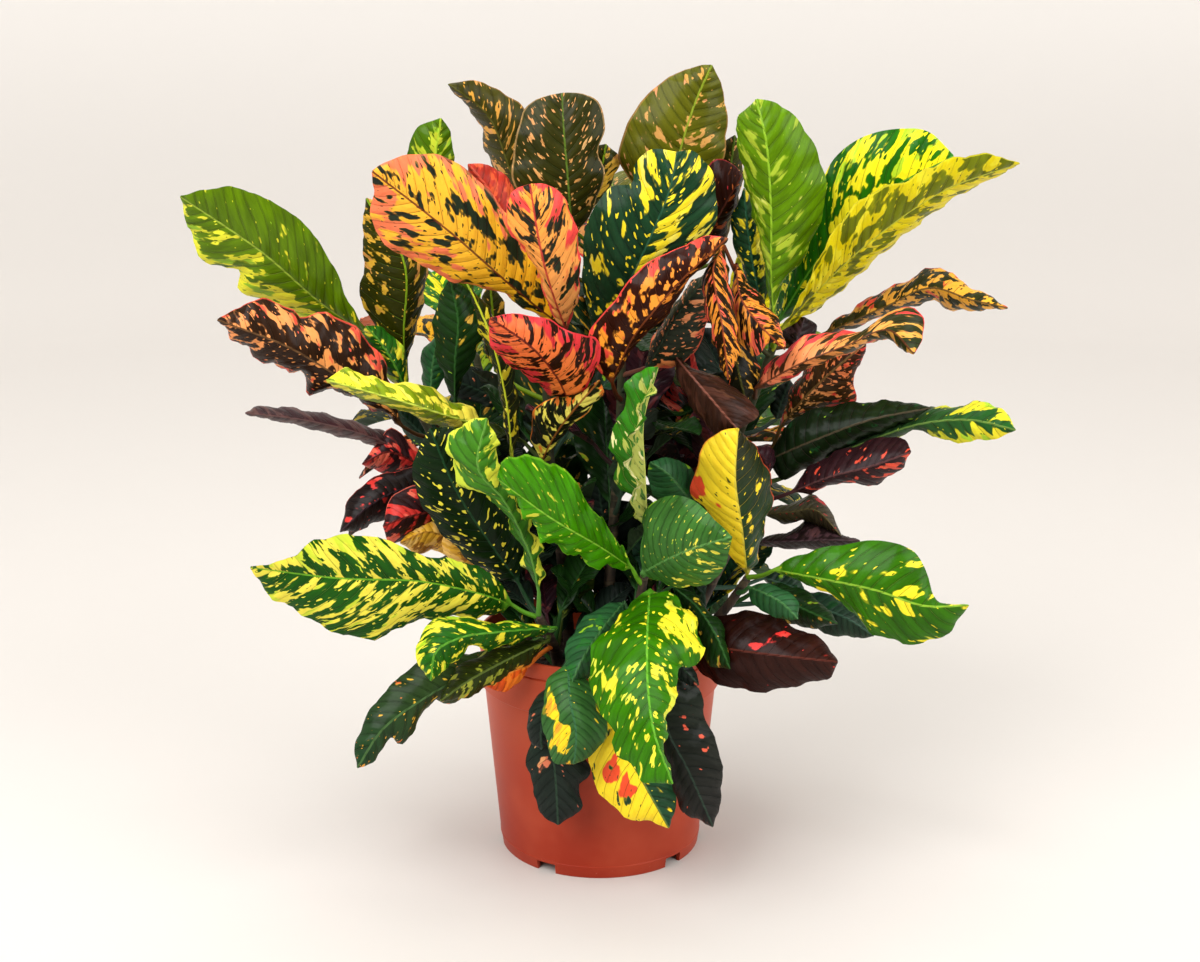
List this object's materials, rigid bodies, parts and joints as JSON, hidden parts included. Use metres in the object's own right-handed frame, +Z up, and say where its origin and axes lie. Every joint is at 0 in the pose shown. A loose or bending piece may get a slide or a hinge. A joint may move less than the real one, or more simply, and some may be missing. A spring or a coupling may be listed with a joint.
{
  "type": "potted croton",
  "caption": "Bushy croton with large leathery variegated leaves on woody stems, growing from a tapered plastic nursery pot with a notched foot",
  "frame": {"origin": "On the floor at the middle of the plant, on the axis of the pot's foot", "axes": "+Z up along the pot's axis, -Y the front of the plant, +X to the right seen from the front"},
  "size_m": [0.6737, 0.4065, 0.6694],
  "materials": {
    "terracotta_plastic": "satin terracotta red-orange",
    "potting_soil": "dark crumbly peat and bark mix",
    "croton_leaf": "glossy leathery leaves in green, yellow, orange, red and near-black"
  },
  "bodies": {
    "root": {"pot": "terracotta_plastic", "potting_soil": "potting_soil", "left_leafy_stem": "croton_leaf", "centre_left_leafy_stem": "croton_leaf", "centre_leafy_stem": "croton_leaf", "tall_leafy_stem": "croton_leaf", "right_leafy_stem": "croton_leaf", "right_low_leafy_stem": "croton_leaf", "front_left_leafy_stem": "croton_leaf", "front_leafy_stem": "croton_leaf", "front_right_leafy_stem": "croton_leaf", "back_low_leafy_stem": "croton_leaf", "back_left_leafy_stem": "croton_leaf", "back_right_leafy_stem": "croton_leaf"}
  },
  "joints": []
}
